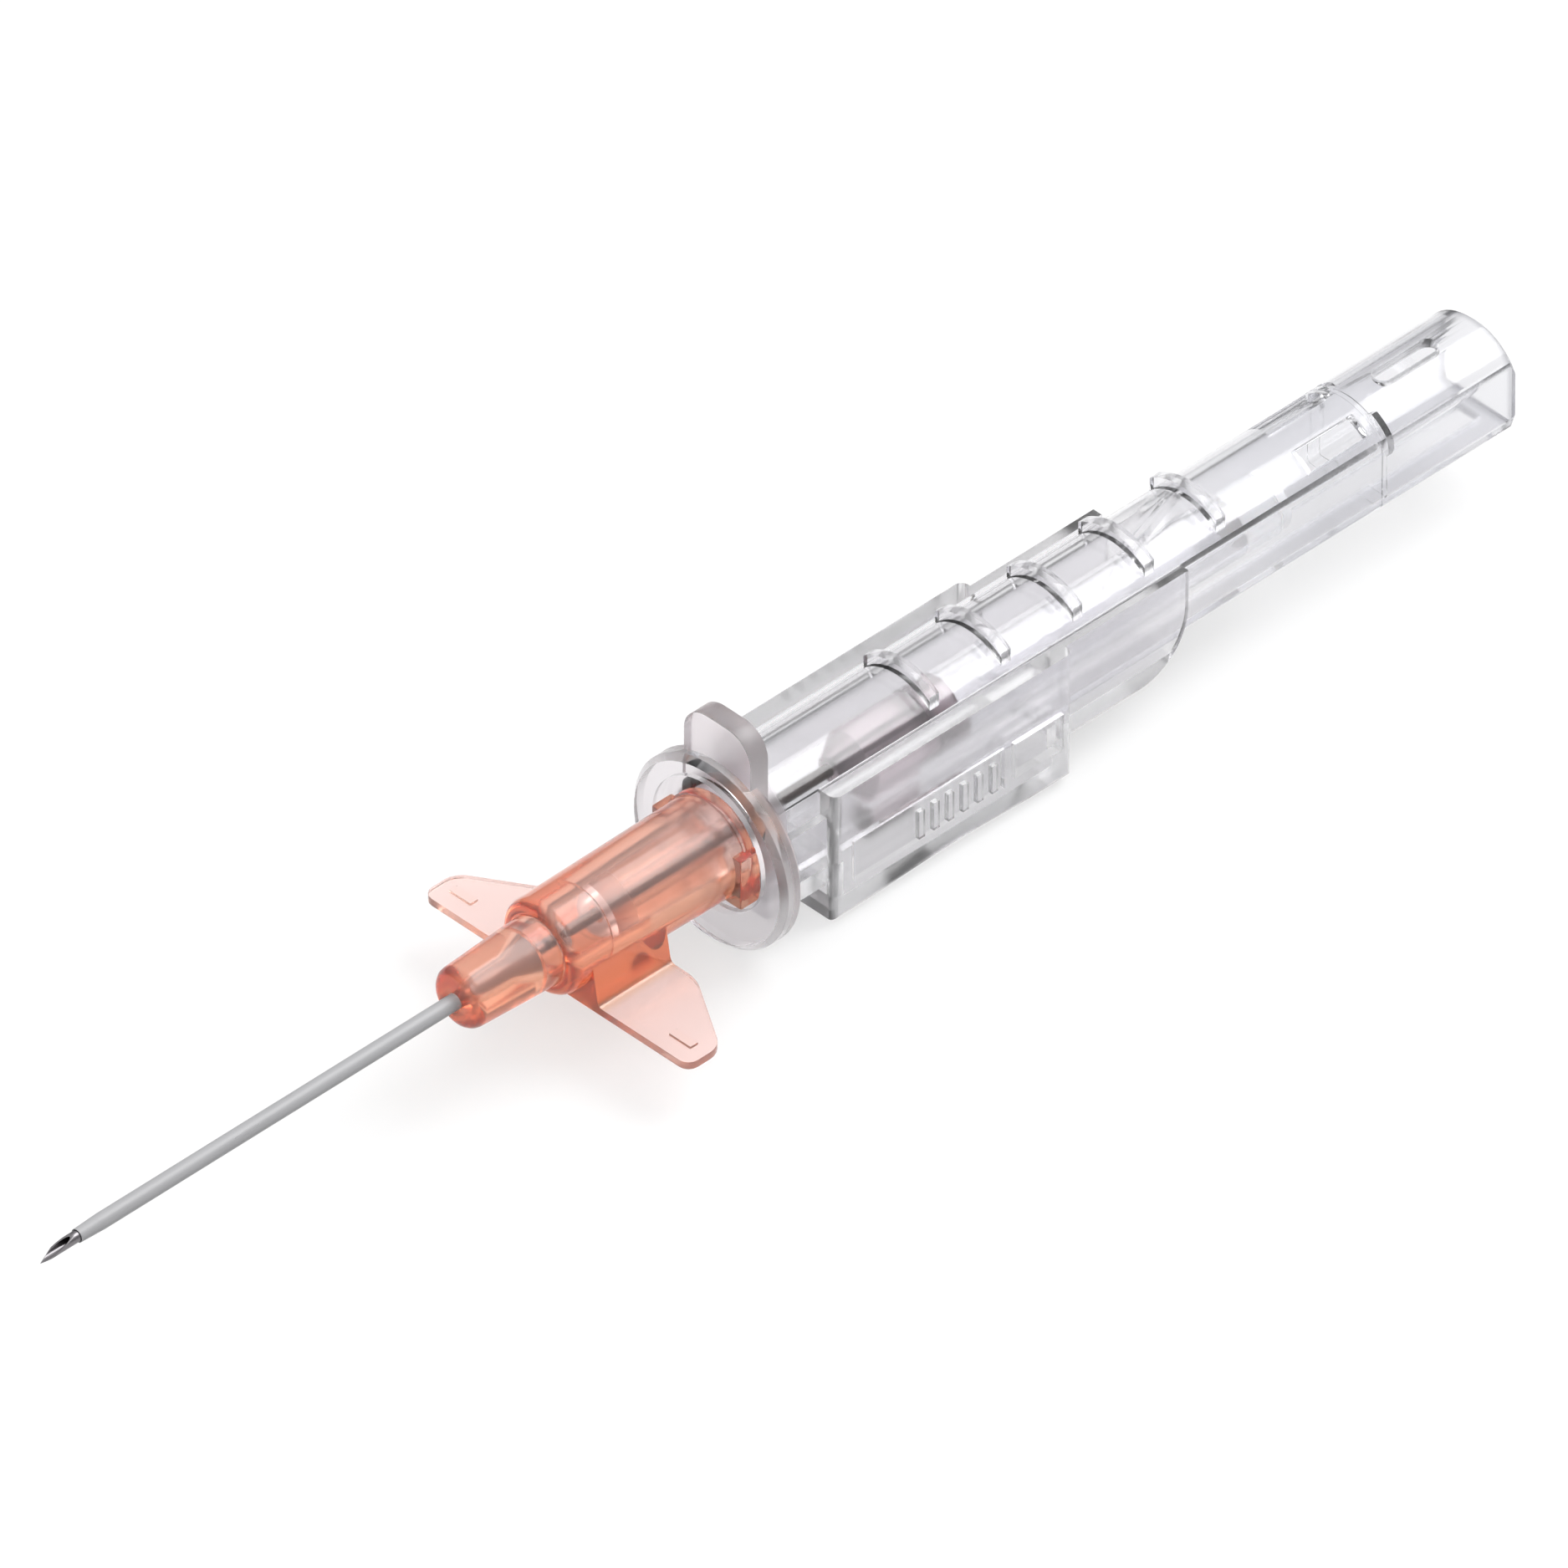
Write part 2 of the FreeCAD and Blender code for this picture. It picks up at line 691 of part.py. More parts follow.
def flat_sided(name, radius, start, length, half_width, depth):
    """Round bar with flat sides and a flat underside, soft along its lower edges and at its rear rim."""
    bar = rod(name + "Round", radius, start, length)
    soft = bevelled(name + "Rim", bar, lambda edge: is_last_ring(edge, bar), "end_edge_bevel")
    flats = block(name + "Flats", start, f"{start} + {length}", half_width, f"-({depth})", radius)
    return shared(name, soft, rounded(name + "Keel", flats, is_keel_edge, "guard_corner_radius"))


def is_keel_edge(edge):
    """True for the lower edges of a block that runs along the needle."""
    return runs_along(edge, "x") and edge.CenterOfMass.z < 0


def is_last_ring(edge, bar):
    """True for the round edge at the rear end of a bar."""
    return isinstance(edge.Curve, Part.Circle) and near(edge.CenterOfMass.x, bar.Shape.BoundBox.XMax)


def make_guard_solid():
    """Outside of the guard."""
    tube = flat_sided("Tube", "guard_radius", "pocket_floor", "guard_length - (pocket_floor - flange_front)",
                      "guard_half_width", "guard_depth")
    end_collar = flat_sided("EndCollar", "end_collar_radius", "end_collar_front", "end_collar_length",
                            "guard_half_width + end_collar_step", "guard_depth + end_collar_step")
    disc_plain = rod("FlangeDisc", "flange_radius", "flange_front", "flange_thickness", "-flange_drop")
    flange = bevelled("Flange", disc_plain, lambda edge: isinstance(edge.Curve, Part.Circle),
                      "flange_edge_bevel")
    tab_box = block("TabBox", "flange_front + tab_setback", "flange_front + tab_setback + tab_thickness",
                    "tab_half_width", "guard_bore_half_width", "tab_top")
    tab = rounded("Tab", tab_box, is_tab_corner, "tab_corner_radius")
    nose = make_guard_nose("GuardNose")
    return fused("GuardSolid", [tube, end_collar, flange, tab, nose, make_guard_ribs()])


def is_tab_corner(edge):
    """True for the two upper corners of the tab."""
    return runs_along(edge, "x") and near(edge.CenterOfMass.z, size("tab_top"))


def make_guard_hollows():
    """All that is cut out of the guard."""
    inside_start = "flange_rear + guard_wall"
    inside = shared("Inside", rod("InsideRound", "guard_radius - guard_wall", inside_start,
                                  "guard_rear - flange_rear"),
                    block("InsideSpan", inside_start, "guard_rear + guard_wall", "guard_bore_half_width",
                          "-guard_bore_depth", "guard_radius"))
    mouth = shared("Mouth", rod("MouthRound", "end_collar_radius - end_collar_wall",
                                "end_collar_front + end_collar_wall", "end_collar_length"),
                   block("MouthFlats", "end_collar_front", "guard_rear + guard_wall",
                         "guard_half_width + end_collar_step - end_collar_wall",
                         "-(guard_depth + end_collar_step - end_collar_wall)", "guard_radius"))
    pocket_round = rod("FlangePocket", "pocket_radius", "flange_front - seat_gap",
                       "pocket_floor - flange_front + seat_gap")
    ring = less("PocketRing", pocket_round, make_guard_nose("NoseKeeper"))
    bore = rod("GuardNoseBore", "guard_nose_bore", "guard_nose_tip - guard_wall",
               "flange_rear + 3 * guard_wall - guard_nose_tip")
    slot = block("BottomSlot", "slot_front", "slot_rear", "slot_half_width", "-2 * guard_depth",
                 "-guard_bore_depth + guard_wall / 2")
    cutters = [inside, mouth, ring, bore, slot] + make_key_slot()
    window_front = "end_collar_front - window_setback - window_length"
    slit_front = "end_collar_front + slit_length"
    for label, side in (("Near", -1), ("Far", 1)):
        cutters.append(make_side_cutter(label + "Window", window_front, "window_length",
                                        "window_width", "window_tilt", side))
        cutters.append(make_side_cutter(label + "Slit", slit_front, "slit_length",
                                        "slit_width", "slit_tilt", side))
    return fused("GuardHollows", cutters)


def make_needle_guard():
    return seat(less("Guard", make_guard_solid(), make_guard_hollows()), "needle_guard")


# Handle: an open channel in which the guard slides, with lips that keep it down and a deeper grip

def make_handle():
    body = doc.addObject("PartDesign::Body", "Handle")
    section = rectangle("-grip_half_width", "-grip_depth", "grip_half_width", "wall_height")
    grip = pad(body, "Grip", outline(body, "GripOutline", "YZ_Plane", section, "grip_front"), "grip_length")
    round_edges(body, "GripEdges", grip, is_grip_edge, "grip_edge_radius")
    section = rectangle("-tail_half_width", "-tail_depth", "tail_half_width", "wall_height")
    pad(body, "NeckAndTail", outline(body, "ChannelOutline", "YZ_Plane", section, "handle_front"),
        "handle_rear - handle_front")
    pocket(body, "Channel",
           outline(body, "ChannelHollow", "YZ_Plane",
                   rectangle("-channel_half_width", "-channel_depth", "channel_half_width", "lip_height"),
                   "handle_front - handle_gap"), "handle_rear - handle_front + 2 * handle_gap")
    pocket(body, "LipGap",
           outline(body, "LipGapHollow", "YZ_Plane",
                   rectangle("-lip_half_width", "0", "lip_half_width", "2 * wall_height"),
                   "handle_front - handle_gap"), "handle_rear - handle_front + 2 * handle_gap")
    pocket(body, "Well",
           outline(body, "WellHollow", "YZ_Plane",
                   rectangle("-channel_half_width", "-well_depth", "channel_half_width", "0"),
                   "grip_front + grip_end_wall"), "grip_length - 2 * grip_end_wall")
    pocket(body, "NeckTop",
           outline(body, "NeckTopHollow", "YZ_Plane",
                   rectangle("-grip_half_width", "neck_wall_height", "grip_half_width", "2 * wall_height"),
                   "handle_front - handle_gap"), "neck_length + handle_gap")
    chord = "(grip_length / 2 - waist_margin)"
    waist_radius = f"({chord} * {chord} + waist_rise * waist_rise) / (2 * waist_rise)"
    pocket(body, "Waist",
           disc(body, "WaistCircle", "XZ_Plane", "grip_front + grip_length / 2",
                f"waist_rise - grip_depth - {waist_radius}", waist_radius), "4 * grip_half_width", True)
    make_tail_end(body)
    for side in ("Near", "Far"):
        make_side_hollow(body, side, "panel")
        make_side_hollow(body, side, "recess")
        make_side_ridges(body, side)
    return seat(body, "handle")


def is_grip_edge(edge):
    """True for the grip's lower and upright outer edges."""
    low = runs_along(edge, "x") and near(edge.CenterOfMass.z, -size("grip_depth"))
    return low or runs_along(edge, "z")


def make_tail_end(body):
    """Large round at the lower rear corner of the tail, cut across both walls."""
    sketch = sketch_on(body, "TailEndOutline", "XZ_Plane")
    rear = size("handle_rear")
    bottom = -size("tail_depth")
    radius = size("tail_corner_radius")
    centre = Vector(rear - radius, bottom + radius, 0)
    corner = Vector(rear, bottom, 0)
    low = Vector(rear - radius, bottom, 0)
    high = Vector(rear, bottom + radius, 0)
    arc = Part.ArcOfCircle(Part.Circle(centre, Vector(0, 0, 1), radius), -math.pi / 2, 0)
    sketch.addGeometry(Part.LineSegment(low, corner), False)
    sketch.addGeometry(Part.LineSegment(corner, high), False)
    sketch.addGeometry(arc, False)
    sketch.addConstraint(Sketcher.Constraint("Coincident", 0, 2, 1, 1))
    sketch.addConstraint(Sketcher.Constraint("Coincident", 1, 2, 2, 2))
    sketch.addConstraint(Sketcher.Constraint("Coincident", 0, 1, 2, 1))
    pin_point(sketch, 0, 2, "corner", "handle_rear", "-tail_depth")
    pin_point(sketch, 0, 1, "low", "handle_rear - tail_corner_radius", "-tail_depth")
    pin_point(sketch, 1, 2, "high", "handle_rear", "tail_corner_radius - tail_depth")
    index = sketch.addConstraint(Sketcher.Constraint("Radius", 2, radius))
    sketch.renameConstraint(index, "round")
    bind(sketch, {"Constraints.round": "tail_corner_radius"})
    pocket(body, "TailEnd", sketch, "4 * tail_half_width", True)


def across_side(side, inner, outer):
    """Two distances from the middle, on the near or far side, in the order that an outline takes."""
    return (f"-({outer})", f"-({inner})") if side == "Near" else (inner, outer)


def make_side_hollow(body, side, feature):
    """Shallow hollow in one side of the grip, sized by the cells that start with the feature's word."""
    low, high = across_side(side, f"grip_half_width - {feature}_depth",
                            f"grip_half_width + {feature}_depth")
    start = f"grip_front + {feature}_front"
    sketch = outline(body, f"{side}{feature.capitalize()}Outline", "XY_Plane",
                     rectangle(start, low, f"{start} + {feature}_length", high), f"-{feature}_bottom")
    pocket(body, f"{side}{feature.capitalize()}", sketch, f"{feature}_bottom - {feature}_top")


def make_side_ridges(body, side):
    """Upright ridges for the fingers, on the floor of the panel."""
    low, high = across_side(side, "grip_half_width - panel_depth", "grip_half_width")
    for i in range(int(size("ridge_count"))):
        start = f"grip_front + ridge_front + {i} * ridge_pitch"
        ridge = outline(body, f"{side}RidgeOutline{i + 1}", "XY_Plane",
                        rectangle(start, low, f"{start} + ridge_width", high), "-ridge_bottom")
        pad(body, f"{side}Ridge{i + 1}", ridge, "ridge_bottom - ridge_top")


PIECES = [
    make_needle(),
    make_catheter_tube(),
    make_catheter_eyelet(),
    make_catheter_hub(),
    make_needle_carrier(),
    make_flash_chamber(),
    make_vent_plug(),
    make_needle_guard(),
    make_handle(),
]
doc.recompute()

# Tests before anything is written

for thing in doc.Objects:
    if "Invalid" in thing.State or "Error" in thing.State:
        raise RuntimeError(f"{thing.Label} could not be built: {thing.State}")
for piece in PIECES:
    if piece.Shape.isNull() or not piece.Shape.isValid():
        raise RuntimeError(f"{piece.Label} has no valid shape")
    if len(piece.Shape.Solids) != 1:
        raise RuntimeError(f"{piece.Label} is {len(piece.Shape.Solids)} solids instead of one")

for piece in PIECES:
    piece.Shape.exportStep(f"parts/{piece.Label}.step")
    box = piece.Shape.BoundBox
    print(f"{piece.Label}: {piece.Shape.Volume:.2f} mm3, x {box.XMin:.2f} to {box.XMax:.2f}, "
          f"y {box.YMin:.2f} to {box.YMax:.2f}, z {box.ZMin:.2f} to {box.ZMax:.2f}")
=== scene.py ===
# %% [markdown]
# # A winged intravenous cannula
#
# This object is small and mostly clear: a steel needle inside a milky tube, a salmon pink hub with two
# thin wings, and a clear guard that slides in a clear handle. Its looks come from light that bends in
# plastic walls, so the lesson spends its care on true wall thickness, soft moulded edges and materials
# that let light through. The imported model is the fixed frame: it gives every piece its place and size.

# %% Load the frame
import math

import bpy
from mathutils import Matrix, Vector


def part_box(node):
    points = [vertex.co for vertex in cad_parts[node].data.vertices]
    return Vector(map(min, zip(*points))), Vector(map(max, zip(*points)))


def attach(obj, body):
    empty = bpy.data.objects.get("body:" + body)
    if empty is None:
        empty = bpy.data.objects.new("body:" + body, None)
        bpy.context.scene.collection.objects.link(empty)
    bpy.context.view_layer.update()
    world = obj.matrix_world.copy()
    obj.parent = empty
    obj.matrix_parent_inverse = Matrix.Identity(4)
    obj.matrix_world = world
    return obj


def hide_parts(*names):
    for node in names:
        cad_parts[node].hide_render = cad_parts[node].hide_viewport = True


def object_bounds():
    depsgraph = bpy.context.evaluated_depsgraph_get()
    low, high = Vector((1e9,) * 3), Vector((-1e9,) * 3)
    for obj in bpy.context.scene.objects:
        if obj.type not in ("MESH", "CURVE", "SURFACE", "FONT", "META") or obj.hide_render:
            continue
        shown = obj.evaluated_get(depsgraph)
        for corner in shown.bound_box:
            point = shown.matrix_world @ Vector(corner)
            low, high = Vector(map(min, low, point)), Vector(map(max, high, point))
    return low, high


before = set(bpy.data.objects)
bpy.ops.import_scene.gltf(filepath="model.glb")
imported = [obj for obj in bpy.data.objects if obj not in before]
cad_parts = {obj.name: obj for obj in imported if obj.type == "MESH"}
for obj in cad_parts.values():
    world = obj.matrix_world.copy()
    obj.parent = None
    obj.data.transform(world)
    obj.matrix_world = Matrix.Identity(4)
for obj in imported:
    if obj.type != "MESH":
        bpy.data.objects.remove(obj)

MM = 0.001
cad_low, cad_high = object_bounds()
print("nodes:", sorted(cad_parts))
print("box in mm:", [round(v / MM, 2) for v in cad_high - cad_low])

# %% [markdown]
# ## Places along the needle
#
# Everything on this object lines up on the needle, so places are easiest to give as stations: the
# distance in millimetres from the needle's point towards the rear. The needle's own box gives the point
# and the height of its axis, and two short helpers turn stations into the frame's metres.

# %% Stations and the needle's axis
needle_low, needle_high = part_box("needle")
AXIS_HEIGHT = (needle_low.z + needle_high.z) / 2


def at_station(station):
    """X of a station, given in millimetres from the needle's point."""
    return needle_low.x + station * MM


def place(station, across, up):
    """Point beside the needle: millimetres along it, to its far side and above its axis."""
    return Vector((at_station(station), across * MM, AXIS_HEIGHT + up * MM))


print("axis height in mm:", round(AXIS_HEIGHT / MM, 3))

# %% [markdown]
# ## Camera
#
# The photograph looks down on the object from the needle's side. A very long lens far away keeps lines
# that run along the object parallel, as they are in the photograph. The helper that turns the camera to
# face its point does the same for the lamps later on.

# %% Camera
VIEW_AZIMUTH = -44.4
VIEW_ELEVATION = 39.3
VIEW_CENTRE = place(63.0, 0, 1.04)
VIEW_WIDTH = 95.66 * MM
LENS = 1500.0
SENSOR = 36.0


def add_facing(name, data, centre, azimuth, elevation, distance):
    """New camera or lamp, some metres away from a point and turned to face it; angles in degrees."""
    turn, rise = math.radians(azimuth), math.radians(elevation)
    outwards = Vector((math.sin(turn) * math.cos(rise), -math.cos(turn) * math.cos(rise), math.sin(rise)))
    thing = bpy.data.objects.new(name, data)
    bpy.context.collection.objects.link(thing)
    thing.location = centre + outwards * distance
    thing.rotation_euler = outwards.to_track_quat("Z", "Y").to_euler()
    return thing


camera = add_facing("camera", bpy.data.cameras.new("camera"), VIEW_CENTRE, VIEW_AZIMUTH, VIEW_ELEVATION,
                    distance=VIEW_WIDTH * LENS / SENSOR)
camera.data.lens = LENS
camera.data.sensor_width = SENSOR
bpy.context.scene.camera = camera
bpy.context.scene.view_settings.view_transform = "Standard"
print("camera distance in m:", round((camera.location - VIEW_CENTRE).length, 2))

# %% [markdown]
# ## Working by hand in code
#
# Blender's operators act on what is selected, so each step first selects exactly one thing, or nothing
# at all before a new mesh is added. Modifiers are applied at once, so that the next step works on true
# faces.

# %% Selection helpers
def pick_nothing():
    """Leave edit mode and deselect every object."""
    if bpy.context.object and bpy.context.object.mode != "OBJECT":
        bpy.ops.object.mode_set(mode="OBJECT")
    bpy.ops.object.select_all(action="DESELECT")


def pick(piece):
    """Make one object the only one that is selected."""
    pick_nothing()
    piece.select_set(True)
    bpy.context.view_layer.objects.active = piece


def select_points(piece, wanted):
    """Stay in edit mode with only those points selected whose place passes a test."""
    bpy.ops.object.mode_set(mode="EDIT")
    bpy.ops.mesh.select_mode(type="VERT")
    bpy.ops.mesh.select_all(action="DESELECT")
    bpy.ops.object.mode_set(mode="OBJECT")
    for point in piece.data.vertices:
        point.select = wanted(point.co)
    bpy.ops.object.mode_set(mode="EDIT")


def apply_modifier(piece, kind, **settings):
    """Add a modifier, set it and apply it."""
    pick(piece)
    modifier = piece.modifiers.new(kind.title(), kind)
    for key, value in settings.items():
        setattr(modifier, key, value)
    bpy.ops.object.modifier_apply(modifier=modifier.name)


# %% [markdown]
# ## Materials
#
# A node tree is easier to read when each material has one short function. The first helpers make the
# tree with its Principled shader, and add what every real surface here has: a fine pattern and a faint
# tilt of the surface by that pattern. Patterns read Object coordinates, so they stay put on the piece.
# Noise rarely leaves the range from 0.3 to 0.7, so that range is what gets spread.

# %% Pattern helpers
NOISE_LOW, NOISE_HIGH = 0.3, 0.7
BUMP_STRENGTH = 0.3


def nodes_of(material):
    """A material's node tree and its Principled shader."""
    return material.node_tree, material.node_tree.nodes["Principled BSDF"]


def new_material(name, **sockets):
    """Material with a Principled shader whose even values are set on its own sockets."""
    material = bpy.data.materials.new(name)
    material.use_nodes = True
    tree, shader = nodes_of(material)
    for key, value in sockets.items():
        shader.inputs[key.replace("_", " ")].default_value = value
    return material, tree, shader


def noise(tree, scale, detail, stretch):
    """Noise on the piece's Object coordinates; a stretch below 1 draws it out along that axis."""
    coordinates = tree.nodes.new("ShaderNodeTexCoord")
    mapping = tree.nodes.new("ShaderNodeMapping")
    mapping.inputs["Scale"].default_value = stretch
    texture = tree.nodes.new("ShaderNodeTexNoise")
    texture.inputs["Scale"].default_value = scale
    texture.inputs["Detail"].default_value = detail
    tree.links.new(coordinates.outputs["Object"], mapping.inputs["Vector"])
    tree.links.new(mapping.outputs["Vector"], texture.inputs["Vector"])
    return texture.outputs["Fac"]


def spread(tree, source, low, high, start=NOISE_LOW, end=NOISE_HIGH):
    """Turn a pattern's range from start to end into the range from low to high."""
    remap = tree.nodes.new("ShaderNodeMapRange")
    remap.inputs["From Min"].default_value = start
    remap.inputs["From Max"].default_value = end
    remap.inputs["To Min"].default_value = low
    remap.inputs["To Max"].default_value = high
    tree.links.new(source, remap.inputs["Value"])
    return remap.outputs["Result"]


def bump(tree, shader, source, height):
    """Tilt the surface by a pattern; height is in metres."""
    node = tree.nodes.new("ShaderNodeBump")
    node.inputs["Strength"].default_value = BUMP_STRENGTH
    node.inputs["Distance"].default_value = height
    tree.links.new(source, node.inputs["Height"])
    tree.links.new(node.outputs["Normal"], shader.inputs["Normal"])


# %% [markdown]
# The next helpers blend and calculate. Each of their two values is either a plain one or the output of
# another node. A Mix node keeps a set of sockets for each kind of value, and the colour ones are reached
# by their number.

# %% Blending helpers
MIX_FACTOR, MIX_FIRST, MIX_SECOND, MIX_RESULT = 0, 6, 7, 2


def feed(tree, socket, value):
    """Link a node's output to a socket, or set the socket to a plain value."""
    if isinstance(value, bpy.types.NodeSocket):
        tree.links.new(value, socket)
    else:
        socket.default_value = (*value, 1) if isinstance(value, tuple) else value


def blend_colours(tree, factor, first, second):
    """Colour between two, by a factor."""
    mix = tree.nodes.new("ShaderNodeMix")
    mix.data_type = "RGBA"
    tree.links.new(factor, mix.inputs[MIX_FACTOR])
    feed(tree, mix.inputs[MIX_FIRST], first)
    feed(tree, mix.inputs[MIX_SECOND], second)
    return mix.outputs[MIX_RESULT]


def calculate(tree, operation, first, second=0):
    """Result of one step of arithmetic."""
    node = tree.nodes.new("ShaderNodeMath")
    node.operation = operation
    feed(tree, node.inputs[0], first)
    feed(tree, node.inputs[1], second)
    return node.outputs["Value"]


def shade(colour, factor):
    """Darker version of a colour."""
    return tuple(factor * channel for channel in colour)


# %% [markdown]
# Some finishes change along the object, such as a frosted band. The place along X, turned into a ramp
# between two stations, tells a material where such a band starts and ends. Two more helpers then change
# the colour or the gloss that the material already has, only there.

# %% Helpers for bands along the object
def axis_of(tree, axis, space="Object"):
    """Place along X, Y or Z, in metres."""
    coordinates = tree.nodes.new("ShaderNodeTexCoord")
    split = tree.nodes.new("ShaderNodeSeparateXYZ")
    tree.links.new(coordinates.outputs[space], split.inputs["Vector"])
    return split.outputs[axis]


def from_station(tree, start, end):
    """Ramp from 0 at one station to 1 at the next."""
    return spread(tree, axis_of(tree, "X"), 0, 1, at_station(start), at_station(end))


def up_to_station(tree, start, end):
    """Ramp from 1 at one station to 0 at the next."""
    return spread(tree, axis_of(tree, "X"), 1, 0, at_station(start), at_station(end))


def tint_where(tree, shader, where, tint):
    """Give the surface another colour where a pattern is 1."""
    colour = shader.inputs["Base Color"]
    tree.links.new(blend_colours(tree, where, colour.links[0].from_socket, tint), colour)


def roughen_where(tree, shader, where, amount):
    """Make the surface less glossy where a pattern is 1."""
    gloss = shader.inputs["Roughness"]
    extra = calculate(tree, "MULTIPLY", where, amount)
    tree.links.new(calculate(tree, "ADD", gloss.links[0].from_socket, extra), gloss)


# %% [markdown]
# ## Clear plastic
#
# Clear plastic is a Principled shader with full transmission. The real moulding has flow lines along its
# length, so the gloss and the waviness are stretched that way, and its colour has faint clouds.

# %% Clear moulded plastic
CLEAR_IOR = 1.49
FLOW_LINES = {"scale": 260, "detail": 3, "stretch": (0.25, 1, 1)}
CLOUDS = {"scale": 120, "detail": 2, "stretch": (0.4, 1, 1)}
FLOW_HEIGHT = 0.02 * MM
GLOSS_RANGE = 0.06
FAINTLY_DARKER = 0.96


def clear_plastic(name, tint, roughness):
    """Clear moulding with flow lines and an uneven gloss."""
    material, tree, shader = new_material(name, Transmission_Weight=1.0, IOR=CLEAR_IOR, Roughness=roughness)
    flow = noise(tree, **FLOW_LINES)
    tree.links.new(spread(tree, flow, roughness, roughness + GLOSS_RANGE), shader.inputs["Roughness"])
    colours = blend_colours(tree, noise(tree, **CLOUDS), shade(tint, FAINTLY_DARKER), tint)
    tree.links.new(colours, shader.inputs["Base Color"])
    bump(tree, shader, flow, FLOW_HEIGHT)
    return material


guard_clear = clear_plastic("guard_clear", tint=(0.93, 0.925, 0.94), roughness=0.08)
handle_clear = clear_plastic("handle_clear", tint=(0.97, 0.965, 0.98), roughness=0.14)
chamber_clear = clear_plastic("chamber_clear", tint=(0.94, 0.94, 0.955), roughness=0.05)
carrier_clear = clear_plastic("carrier_clear", tint=(0.87, 0.74, 0.78), roughness=0.25)
print("clear plastics:", [m.name for m in (guard_clear, handle_clear, chamber_clear, carrier_clear)])

# %% [markdown]
# The guard's flange, its tab and the tip of its nose come out of matt parts of the mould, so they are
# frosted and faintly lilac. The guard's open rear end is a touch greyer. The rim, where the wall is seen
# edge on, gets painted shade. Each pair of stations is the ramp over which one of these begins or ends.

# %% Frost and grey on the guard
NOSE_FROST_ENDS = (48.1, 48.5)
FLANGE_FROST_BEGINS = (57.2, 57.4)
FLANGE_FROST_ENDS = (59.8, 60.2)
FROST_TINT = (0.86, 0.80, 0.825)
FROST_ROUGHNESS = 0.22
REAR_BEGINS = (94.0, 106.0)
REAR_TINT = (0.82, 0.82, 0.845)
RIM_SHADE_BEGINS = (122.0, 122.3)
RIM_PAINTED_SHADE = (0.50, 0.50, 0.53)


def vary_guard(material):
    """Matt lilac front parts, a greyer rear end and painted shade on the rim."""
    tree, shader = nodes_of(material)
    flange = calculate(tree, "MINIMUM", from_station(tree, *FLANGE_FROST_BEGINS),
                       up_to_station(tree, *FLANGE_FROST_ENDS))
    frost = calculate(tree, "MAXIMUM", flange, up_to_station(tree, *NOSE_FROST_ENDS))
    roughen_where(tree, shader, frost, FROST_ROUGHNESS)
    tint_where(tree, shader, frost, FROST_TINT)
    tint_where(tree, shader, from_station(tree, *REAR_BEGINS), REAR_TINT)
    # painted shade: the rim is darkened where the wall is seen edge on
    tint_where(tree, shader, from_station(tree, *RIM_SHADE_BEGINS), RIM_PAINTED_SHADE)


vary_guard(guard_clear)
print("frosted flange, mm from the point:", FLANGE_FROST_BEGINS[0], "to", FLANGE_FROST_ENDS[1])

# %% [markdown]
# ## Dyed plastic
#
# The hub is dyed right through, so a thick wall looks orange and a thin wing only pink. Volume
# Absorption gives exactly that: the colour deepens with the length of plastic that light crosses. The
# surface colour adds painted light: a painted highlight makes it pinker on top, painted shade makes it
# warmer low on the body and root, and the wings are a paler pink.

# %% Salmon hub
HUB_CLEARNESS = 0.92
HUB_IOR = 1.46
HUB_DENSITY = 310.0
HUB_DYE = (0.985, 0.57, 0.33)
HUB_PINK_HIGHLIGHT = (0.97, 0.80, 0.78)
HUB_WARM_SHADE = (0.97, 0.69, 0.52)
HUB_WING = (0.99, 0.83, 0.82)
HUB_MOTTLE = {"scale": 400, "detail": 3, "stretch": (0.5, 1, 1)}
HUB_MOTTLE_HEIGHT = 0.02 * MM
HUB_ROUGHNESS = (0.11, 0.2)
PAINTED_HIGHLIGHT_BEGINS = (AXIS_HEIGHT - 1.5 * MM, AXIS_HEIGHT + 1.5 * MM)
WING_PINK_BEGINS = (3.7 * MM, 4.5 * MM)


def dyed_plastic(name):
    """Salmon plastic, coloured through its thickness, with a painted highlight on top and painted shade low
    down.
    """
    material, tree, shader = new_material(name, Transmission_Weight=HUB_CLEARNESS, IOR=HUB_IOR,
                                          Roughness=0.12)
    mottle = noise(tree, **HUB_MOTTLE)
    tree.links.new(spread(tree, mottle, *HUB_ROUGHNESS), shader.inputs["Roughness"])
    bump(tree, shader, mottle, HUB_MOTTLE_HEIGHT)
    # painted highlight and shade: pinker on top, warmer low on the body and root
    top = spread(tree, axis_of(tree, "Z"), 0, 1, *PAINTED_HIGHLIGHT_BEGINS)
    wing = spread(tree, calculate(tree, "ABSOLUTE", axis_of(tree, "Y")), 0, 1, *WING_PINK_BEGINS)
    pink = blend_colours(tree, mottle, shade(HUB_PINK_HIGHLIGHT, FAINTLY_DARKER), HUB_PINK_HIGHLIGHT)
    body = blend_colours(tree, top, HUB_WARM_SHADE, pink)
    tree.links.new(blend_colours(tree, wing, body, HUB_WING), shader.inputs["Base Color"])
    dye = tree.nodes.new("ShaderNodeVolumeAbsorption")
    dye.inputs["Color"].default_value = (*HUB_DYE, 1)
    dye.inputs["Density"].default_value = HUB_DENSITY
    tree.links.new(dye.outputs["Volume"], tree.nodes["Material Output"].inputs["Volume"])
    return material


hub_salmon = dyed_plastic("hub_salmon")
print("dyed plastic:", hub_salmon.name)

# %% [markdown]
# ## Tube, steel and vent
#
# The catheter tube is a soft milky polymer. Most light scatters back from it and some passes through,
# with fine clouds drawn out along the tube.

